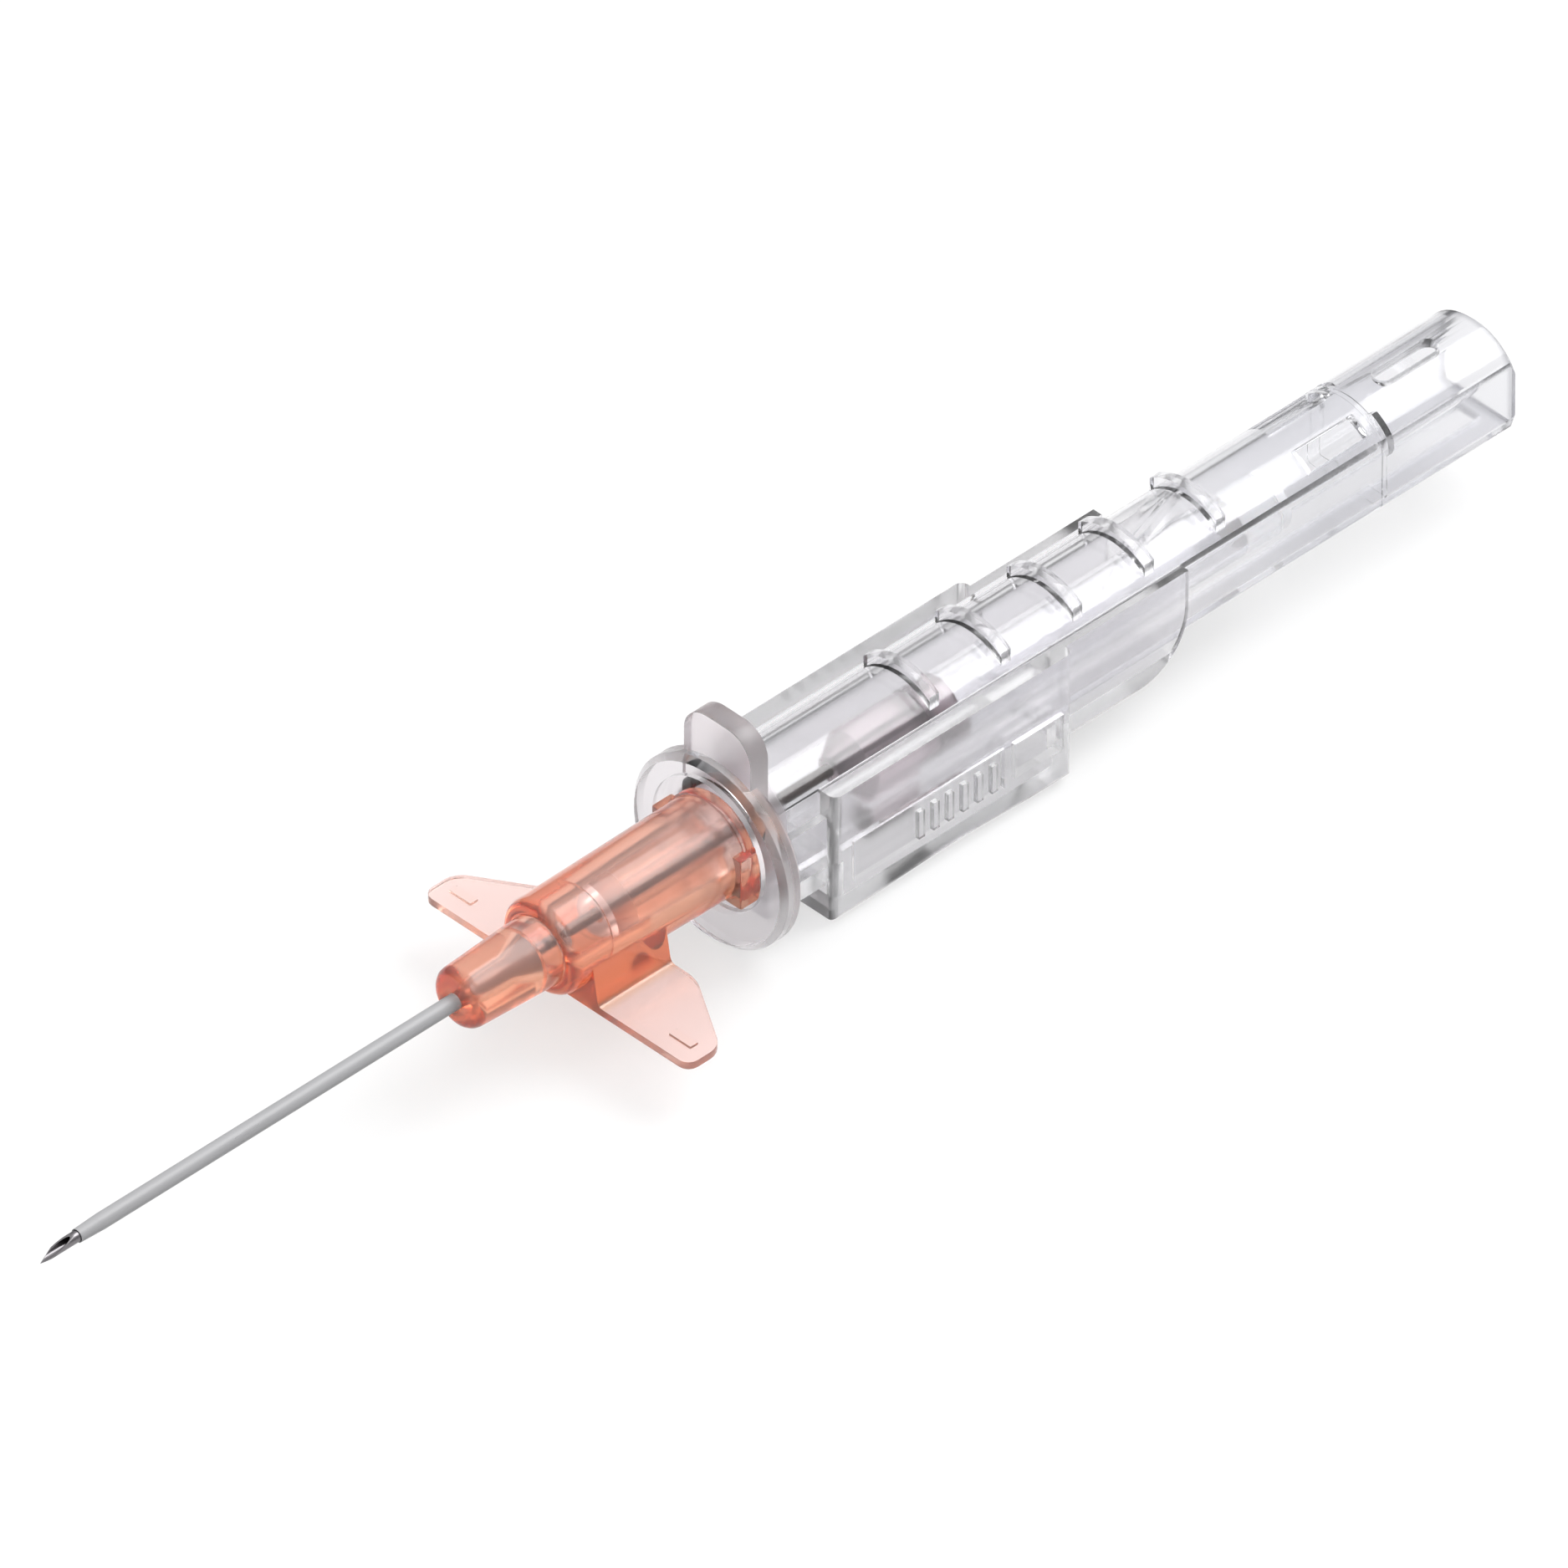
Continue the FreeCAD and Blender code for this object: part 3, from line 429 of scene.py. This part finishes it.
# %% Milky tube
MILKY_CLOUDS = {"scale": 900, "detail": 4, "stretch": (0.2, 1, 1)}
MILKY_CLOUD_HEIGHT = 0.01 * MM
MILKY_ROUGHNESS = (0.26, 0.38)
MILKY_DARKER = (0.41, 0.41, 0.42)
MILKY_PALER = (0.49, 0.49, 0.50)


def milky_polymer(name):
    """Soft white tube that lets some light through."""
    material, tree, shader = new_material(name, Transmission_Weight=0.25, IOR=1.4, Roughness=0.3)
    clouds = noise(tree, **MILKY_CLOUDS)
    tree.links.new(spread(tree, clouds, *MILKY_ROUGHNESS), shader.inputs["Roughness"])
    tree.links.new(blend_colours(tree, clouds, MILKY_DARKER, MILKY_PALER), shader.inputs["Base Color"])
    bump(tree, shader, clouds, MILKY_CLOUD_HEIGHT)
    return material


catheter_polymer = milky_polymer("catheter_polymer")
print("tube:", catheter_polymer.name)

# %% [markdown]
# The needle is drawn steel with fine lines along it. From inside the hub to the carrier it gets painted
# shade: dark brown, dull and not metallic, as the needle looks dark inside the plastic. The eyelet is
# pressed steel.

# %% Steel
LINE_DETAIL = 5
LINE_STRETCH = (0.02, 1, 1)
LINE_HEIGHT = 0.004 * MM
LINE_GLOSS_RANGE = 0.15
LINE_SHADE = 0.75
SHADED_SHANK_BEGINS = (42.2, 42.5)
SHADED_SHANK_ENDS = (66.6, 66.9)
SHANK_PAINTED_SHADE = (0.035, 0.014, 0.011)
ROUGH_EXTRA = 0.45


def drawn_steel(name, colour, roughness, line_scale):
    """Steel with fine lines along X."""
    material, tree, shader = new_material(name, Metallic=1.0)
    lines = noise(tree, line_scale, LINE_DETAIL, LINE_STRETCH)
    tree.links.new(spread(tree, lines, roughness, roughness + LINE_GLOSS_RANGE), shader.inputs["Roughness"])
    colours = blend_colours(tree, lines, shade(colour, LINE_SHADE), colour)
    tree.links.new(colours, shader.inputs["Base Color"])
    bump(tree, shader, lines, LINE_HEIGHT)
    return material


def paint_shank_shade(material):
    """Painted shade along the middle of the needle: dull, dark brown and not metallic."""
    tree, shader = nodes_of(material)
    inside = calculate(tree, "MINIMUM", from_station(tree, *SHADED_SHANK_BEGINS), up_to_station(tree, *SHADED_SHANK_ENDS))
    # painted shade: the shank inside the hub and guard is coloured dark brown and made dull
    tint_where(tree, shader, inside, SHANK_PAINTED_SHADE)
    roughen_where(tree, shader, inside, ROUGH_EXTRA)
    tree.links.new(calculate(tree, "SUBTRACT", 1, inside), shader.inputs["Metallic"])


needle_steel = drawn_steel("needle_steel", (0.24, 0.23, 0.24), roughness=0.22, line_scale=4000)
paint_shank_shade(needle_steel)
eyelet_steel = drawn_steel("eyelet_steel", (0.26, 0.18, 0.16), roughness=0.45, line_scale=2500)
print("steels:", [m.name for m in (needle_steel, eyelet_steel)])

# %% [markdown]
# The vent plug lets air out of the chamber and keeps blood in. It is pressed from white grains, which
# Voronoi cells draw well. Deep inside clear walls it would go grey, so it has a little glow of its own.

# %% Porous vent
WHITE = (1, 1, 1)
GRAIN_SCALE = 6000
GRAIN_HEIGHT = 0.02 * MM
GRAIN_MIDDLE = (0.99, 0.99, 0.99)
GRAIN_EDGE = (0.93, 0.93, 0.93)


def porous_plug(name):
    """Pressed white grains."""
    material, tree, shader = new_material(name, Roughness=0.85, Subsurface_Weight=0.1,
                                          Emission_Color=(*WHITE, 1), Emission_Strength=0.3)
    coordinates = tree.nodes.new("ShaderNodeTexCoord")
    grains = tree.nodes.new("ShaderNodeTexVoronoi")
    grains.inputs["Scale"].default_value = GRAIN_SCALE
    tree.links.new(coordinates.outputs["Object"], grains.inputs["Vector"])
    distance = grains.outputs["Distance"]
    tree.links.new(blend_colours(tree, distance, GRAIN_MIDDLE, GRAIN_EDGE), shader.inputs["Base Color"])
    bump(tree, shader, distance, GRAIN_HEIGHT)
    return material


vent_white = porous_plug("vent_white")
print("vent:", vent_white.name)

# %% [markdown]
# ## Pieces
#
# The frame's own shapes are true, but their edges are knife sharp, and no moulding is. Each of them is
# copied, and the copy's loose triangles are joined into clean flat faces, so that it can be worked on
# like any other mesh.

# %% Copy a node
MERGE_REACH = 0.0005 * MM
FLAT_ANGLE = 0.5


def copy_of(node):
    """Copy of a frame node with its triangles joined into flat faces."""
    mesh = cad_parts[node].data.copy()
    mesh.materials.clear()
    piece = bpy.data.objects.new(node + "_moulded", mesh)
    bpy.context.collection.objects.link(piece)
    pick(piece)
    if mesh.has_custom_normals:
        bpy.ops.mesh.customdata_custom_splitnormals_clear()
    bpy.ops.object.mode_set(mode="EDIT")
    bpy.ops.mesh.select_all(action="SELECT")
    bpy.ops.mesh.remove_doubles(threshold=MERGE_REACH)
    bpy.ops.mesh.dissolve_limited(angle_limit=math.radians(FLAT_ANGLE))
    bpy.ops.object.mode_set(mode="OBJECT")
    return piece


# %% [markdown]
# A narrow round on each sharp edge catches a line of light, as a moulded edge does. Smooth shading then
# stops at angles over 30 degrees, and is led by the large faces, so that flat areas look flat.

# %% Finish a piece
SMOOTH_ANGLE = 30
NORMAL_WEIGHT = 60


def round_edges(piece, width, angle):
    """Small round, some millimetres wide, on every edge that turns by more than an angle."""
    apply_modifier(piece, "BEVEL", width=width * MM, segments=2, limit_method="ANGLE",
                   angle_limit=math.radians(angle), use_clamp_overlap=True)


def smooth(piece):
    """Smooth shading with crisp sharp edges."""
    pick(piece)
    bpy.ops.object.shade_smooth_by_angle(angle=math.radians(SMOOTH_ANGLE))
    apply_modifier(piece, "WEIGHTED_NORMAL", keep_sharp=True, weight=NORMAL_WEIGHT)


def finish_piece(piece, material, body, node):
    """Give a finished piece its material and its body, and hide the node that it stands for."""
    piece.data.materials.clear()
    piece.data.materials.append(material)
    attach(piece, body)
    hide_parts(node)
    print(piece.name, "faces:", len(piece.data.polygons))


# %% [markdown]
# The mouldings and the plug get a narrow round. The needle, the tube and the eyelet keep their fine
# edges. On the guard, the curved top meets the flat sides in two shoulders, which get a larger round of
# their own first. The table gives each node's material, body, slot and edge round in millimetres.

# %% Copies with moulded edges
MOULD_EDGE_ANGLE = 35
ROUND_STEPS = 4
SHOULDER_ACROSS = (3.4, 3.55)
SHOULDER_UP = (2.2, 2.5)
SHOULDER_ROUND = 0.5
MOULDED = [
    ("handle", handle_clear, "handle", "handle_clear", 0.12),
    ("needle_guard", guard_clear, "guard", "guard_clear", 0.12),
    ("flash_chamber", chamber_clear, "handle", "chamber_clear", 0.05),
    ("needle_carrier", carrier_clear, "handle", "carrier_clear", 0.06),
    ("vent_plug", vent_white, "handle", "vent_white", 0.1),
    ("needle", needle_steel, "handle", "needle_steel", 0),
    ("catheter_tube", catheter_polymer, "catheter", "catheter_polymer", 0),
    ("catheter_eyelet", eyelet_steel, "catheter", "eyelet_steel", 0),
]


def on_shoulder(spot):
    """Whether a point of the guard lies where its curved top meets a flat side."""
    across, up = abs(spot.y) / MM, (spot.z - AXIS_HEIGHT) / MM
    return SHOULDER_ACROSS[0] < across < SHOULDER_ACROSS[1] and SHOULDER_UP[0] < up < SHOULDER_UP[1]


for node, material, body, slot, edge in MOULDED:
    piece = copy_of(node)
    if node == "needle_guard":
        select_points(piece, on_shoulder)
        bpy.ops.mesh.bevel(offset=SHOULDER_ROUND * MM, segments=ROUND_STEPS, affect="EDGES")
        bpy.ops.object.mode_set(mode="OBJECT")
    if edge:
        round_edges(piece, edge, MOULD_EDGE_ANGLE)
    smooth(piece)
    finish_piece(piece, material, body, node)

# %% [markdown]
# ## Drawing a line and spinning it
#
# The hub's nose, body and socket are round, so they are spun like clay on a wheel. One point is pushed
# from corner to corner with Extrude to draw half of the section, chosen corners are rounded, and the
# line is spun about the needle's axis. Drawing the outside and the bore as one closed line gives the
# wall its true thickness.

# %% Drawing helpers
LINE_MERGE_REACH = 0.001 * MM
NEAR = 0.05 * MM
SPIN_STEPS = 96


def draw_line(name, corners):
    """New piece in edit mode: one point pushed round a closed line of corners."""
    pick_nothing()
    bpy.ops.mesh.primitive_plane_add(size=MM, location=(0, 0, 0))
    piece = bpy.context.object
    piece.name = name
    bpy.ops.object.mode_set(mode="EDIT")
    bpy.ops.mesh.select_all(action="SELECT")
    bpy.ops.mesh.merge(type="CENTER")
    bpy.ops.transform.translate(value=corners[0])
    for start, end in zip(corners, corners[1:] + corners[:1]):
        bpy.ops.mesh.extrude_region_move(TRANSFORM_OT_translate={"value": end - start})
    bpy.ops.mesh.select_all(action="SELECT")
    bpy.ops.mesh.remove_doubles(threshold=LINE_MERGE_REACH)
    return piece


def round_corner(piece, corner, reach):
    """Round one corner of a drawn line; reach is in millimetres."""
    select_points(piece, lambda spot: (spot - corner).length < NEAR)
    bpy.ops.mesh.bevel(offset=reach * MM, segments=ROUND_STEPS, affect="VERTICES")


def face_outwards():
    """Turn every face of the mesh in edit mode outwards, and leave edit mode."""
    bpy.ops.mesh.select_all(action="SELECT")
    bpy.ops.mesh.normals_make_consistent(inside=False)
    bpy.ops.object.mode_set(mode="OBJECT")


def spin_round():
    """Spin the line in edit mode about the needle's axis into a closed wall."""
    bpy.ops.mesh.select_all(action="SELECT")
    bpy.ops.mesh.spin(steps=SPIN_STEPS, angle=2 * math.pi, center=(0, 0, AXIS_HEIGHT), axis=(1, 0, 0))
    bpy.ops.mesh.select_all(action="SELECT")
    bpy.ops.mesh.remove_doubles(threshold=MERGE_REACH)
    face_outwards()


# %% [markdown]
# ## Hub core
#
# A hub like this is a round form about the needle: a slim nose that grips the tube, a step to the
# thicker body and a small rim at the rear. The front edges are well rounded, because they lie against
# skin. Inside, the bore widens in a flare for the tube's root and then into a tapered socket. Each corner
# is a station and a radius in millimetres, and each round adds how far it reaches from its corner.

# %% Hub core
HUB_OUTSIDE = [(35.0, 2.1), (42.0, 2.4), (42.0, 3.3), (56.35, 3.45), (56.35, 3.6), (57.2, 3.6)]
HUB_INSIDE = [(57.2, 2.15), (46.0, 1.82), (46.0, 1.6), (40.9, 1.6),
              (40.9, 1.14), (38.9, 0.63), (37.3, 0.63), (35.0, 0.57)]
HUB_ROUNDS = [(35.0, 2.1, 0.7), (42.0, 2.4, 0.15), (42.0, 3.3, 0.7), (57.2, 3.6, 0.15), (57.2, 2.15, 0.15)]

hub = draw_line("hub", [place(station, 0, radius) for station, radius in HUB_OUTSIDE + HUB_INSIDE])
for station, radius, reach in HUB_ROUNDS:
    round_corner(hub, place(station, 0, radius), reach)
spin_round()
print("hub core faces:", len(hub.data.polygons))

# %% [markdown]
# ## Wings
#
# The wings and their root are one thin plate with a thick keel that hugs the round body. The section
# across the needle is drawn first: out along the plate, up the root's sloping side and back under the
# body, inside its wall. It is pushed along the needle, and two slanting cuts give the plate its swept
# rear edges. The foot of the root is rounded, so that the wing bends there and doesn't crack. A Boolean
# then melts the closed plate into the hub, as the mould makes them in one shot.

# %% Wings
WING_FRONT = 43.5
WING_CHORD = 6.2
WING_REACH = 11.6
WING_TIP = (46.2, WING_REACH)
WING_KNEE = (49.7, 6.0)
WING_FOOT = (3.75, -3.15)
WING_SECTION = [(WING_REACH, -3.7), (WING_REACH, -3.15), WING_FOOT, (3.28, -0.35), (2.6, -0.35),
                (1.85, -1.85), (0, -2.6)]
FOOT_ROUND = 0.35
CORNER_ROUND = 0.8
BOTH_SIDES = (-1, 1)


def cut_swept_edge(side):
    """Cut the plate in edit mode from the wing's tip to its knee, and drop what lies behind."""
    facing = Vector((WING_TIP[1] - WING_KNEE[1], side * (WING_KNEE[0] - WING_TIP[0]), 0)).normalized()
    bpy.ops.mesh.select_all(action="SELECT")
    bpy.ops.mesh.bisect(plane_co=place(WING_KNEE[0], side * WING_KNEE[1], 0), plane_no=facing,
                        use_fill=True, clear_outer=True)


def make_wings():
    """Draw the wings' section, push it along the needle, cut it to shape and round its corners."""
    section = WING_SECTION + [(-across, up) for across, up in reversed(WING_SECTION[:-1])]
    wings = draw_line("wings", [place(WING_FRONT, across, up) for across, up in section])
    for side in BOTH_SIDES:
        round_corner(wings, place(WING_FRONT, side * WING_FOOT[0], WING_FOOT[1]), FOOT_ROUND)
    bpy.ops.mesh.select_all(action="SELECT")
    bpy.ops.mesh.edge_face_add()
    bpy.ops.mesh.extrude_region_move(TRANSFORM_OT_translate={"value": (WING_CHORD * MM, 0, 0)})
    for side in BOTH_SIDES:
        cut_swept_edge(side)
    for station, across in ((WING_FRONT, WING_REACH), WING_TIP, WING_KNEE):
        for side in BOTH_SIDES:
            corner = place(station, side * across, 0)
            select_points(wings, lambda spot: (spot - corner).xy.length < NEAR)
            bpy.ops.mesh.bevel(offset=CORNER_ROUND * MM, segments=ROUND_STEPS, affect="EDGES")
    face_outwards()
    return wings


def unite(piece, other):
    """Melt another closed piece into this one."""
    apply_modifier(piece, "BOOLEAN", object=other, operation="UNION", solver="EXACT")
    bpy.data.objects.remove(other)


unite(hub, make_wings())
print("hub with wings:", len(hub.data.polygons))

# %% [markdown]
# ## Ears and bars
#
# Two square ears at the hub's rear catch in the guard's flange until the catheter is pushed off. A low
# bar on each wing gives the fingertip something to feel. Both are plain boxes with their edges rounded,
# made once on the far side and mirrored across. The table gives each box's two opposite corners, as
# places beside the needle, and the round of its edges in millimetres.

# %% Ears and bars
BOXES = [
    ("ear", (55.5, 2.4, -2.4), (57.2, 3.9, 1.4), 0.12),
    ("bar", (44.7, 8.65, -3.4), (45.4, 10.55, -2.98), 0.08),
]


def box_between(name, low, high, edge):
    """Box between two corners with rounded edges."""
    pick_nothing()
    bpy.ops.mesh.primitive_cube_add(size=1, location=(0, 0, 0))
    box = bpy.context.object
    box.name = name
    bpy.ops.object.mode_set(mode="EDIT")
    bpy.ops.transform.resize(value=high - low)
    bpy.ops.transform.translate(value=(low + high) / 2)
    bpy.ops.mesh.bevel(offset=edge * MM, segments=2, affect="EDGES")
    bpy.ops.object.mode_set(mode="OBJECT")
    return box


def mirrored(piece):
    """Copy of a piece on the other side of the needle, with its own mesh."""
    twin = piece.copy()
    twin.data = piece.data.copy()
    bpy.context.collection.objects.link(twin)
    pick(twin)
    bpy.ops.object.mode_set(mode="EDIT")
    bpy.ops.mesh.select_all(action="SELECT")
    bpy.ops.transform.resize(value=(1, -1, 1), center_override=(0, 0, 0))
    face_outwards()
    return twin


for name, low, high, edge in BOXES:
    box = box_between(name, place(*low), place(*high), edge)
    for piece in (mirrored(box), box):
        unite(hub, piece)
print("hub with ears and bars:", len(hub.data.polygons))

# %% [markdown]
# ## Rounding the hub's edges
#
# A mould for soft touch parts has no sharp inner corners, and a sharp edge near skin would scratch. One
# small bevel over the whole united piece rounds every edge that is still sharp, in one go. After it the
# hub gets its dyed plastic and takes the place of the frame's plain hub.

# %% Hub finish
HUB_EDGE = 0.1
HUB_EDGE_ANGLE = 40

round_edges(hub, HUB_EDGE, HUB_EDGE_ANGLE)
smooth(hub)
finish_piece(hub, hub_salmon, "catheter", "catheter_hub")

# %% [markdown]
# ## Floor
#
# The background of the photograph is plain white. The floor adds a glow of its own to what the lamps
# give it, only for rays that come from the camera, from gloss or through glass, so the shadow stays and
# no extra light reaches the object.

# %% Floor
FLOOR_SIZE = 0.5
FLOOR_CELLS = 8
FLOOR_DROP = 0.02 * MM
FLOOR_GREY = (0.32, 0.32, 0.32)
FLOOR_GLOW = 0.6


def seen_directly(tree):
    """1 for rays from the camera, from gloss or through glass, and 0 for others."""
    path = tree.nodes.new("ShaderNodeLightPath")
    seen = path.outputs["Is Camera Ray"]
    for kind in ("Is Glossy Ray", "Is Transmission Ray"):
        seen = calculate(tree, "MAXIMUM", seen, path.outputs[kind])
    return seen


def add_floor():
    """Pale floor just under the object."""
    pick_nothing()
    bpy.ops.mesh.primitive_grid_add(x_subdivisions=FLOOR_CELLS, y_subdivisions=FLOOR_CELLS, size=FLOOR_SIZE,
                                    location=(0, 0, cad_low.z - FLOOR_DROP))
    floor = bpy.context.object
    floor.name = "floor"
    material, tree, shader = new_material("floor_white", Base_Color=(*FLOOR_GREY, 1), Roughness=0.9,
                                          Specular_IOR_Level=0.0, Emission_Color=(*WHITE, 1))
    glow = calculate(tree, "MULTIPLY", seen_directly(tree), FLOOR_GLOW)
    tree.links.new(glow, shader.inputs["Emission Strength"])
    floor.data.materials.append(material)


add_floor()
print("floor size in mm:", round(FLOOR_SIZE / MM))

# %% [markdown]
# ## World and lamps
#
# Clear plastic has hardly any colour: its shape is drawn by what it bends and mirrors. The world is white
# overhead and darker round the horizon, so that the edges of the clear pieces come out as thin grey
# lines, as they do on a light table. The camera itself sees it white.

# %% World
SKY_DARK = (0.12, 0.12, 0.125)
SKY_MIDDLE = (0.46, 0.46, 0.47)
SKY_MIDDLE_HEIGHT = 0.25
SKY_WHITE_HEIGHT = 0.75


def add_world():
    """White for the camera, and a soft studio for everything else."""
    world = bpy.data.worlds.new("studio")
    bpy.context.scene.world = world
    world.use_nodes = True
    tree = world.node_tree
    sky = tree.nodes.new("ShaderNodeValToRGB")
    dark, white = sky.color_ramp.elements
    dark.color = (*SKY_DARK, 1)
    white.position, white.color = SKY_WHITE_HEIGHT, (*WHITE, 1)
    sky.color_ramp.elements.new(SKY_MIDDLE_HEIGHT).color = (*SKY_MIDDLE, 1)
    tree.links.new(axis_of(tree, "Z", "Generated"), sky.inputs["Fac"])
    path = tree.nodes.new("ShaderNodeLightPath")
    colour = blend_colours(tree, path.outputs["Is Camera Ray"], sky.outputs["Color"], WHITE)
    tree.links.new(colour, tree.nodes["Background"].inputs["Color"])


add_world()
print("world:", bpy.context.scene.world.name)

# %% [markdown]
# Two soft panels add the long highlights and the faint shadow: one high up beyond the handle's tail, and
# one on the camera's side. Light passes many walls here, so a ray may bend more often than usual before
# it is given up. A ray that is turned back inside a wall counts as gloss: with too few such turns the
# edges come out black, and with too many they fade.

# %% Lamps
MOST_BENDS = 24
MOST_GLOSSY_TURNS = 7


def add_lamp(name, azimuth, elevation, distance, width, depth, power):
    """Soft panel that faces the middle of the object; sizes in metres, power in watts."""
    lamp = bpy.data.lights.new(name, "AREA")
    lamp.shape = "RECTANGLE"
    lamp.size = width
    lamp.size_y = depth
    lamp.energy = power
    add_facing(name, lamp, Vector((0, 0, 0)), azimuth, elevation, distance)


add_lamp("lamp_above", azimuth=71, elevation=55, distance=0.6, width=0.45, depth=0.4, power=2.8)
add_lamp("lamp_side", azimuth=-50, elevation=45, distance=0.8, width=0.4, depth=0.3, power=1.4)
bpy.context.scene.cycles.max_bounces = MOST_BENDS
bpy.context.scene.cycles.transmission_bounces = MOST_BENDS
bpy.context.scene.cycles.glossy_bounces = MOST_GLOSSY_TURNS
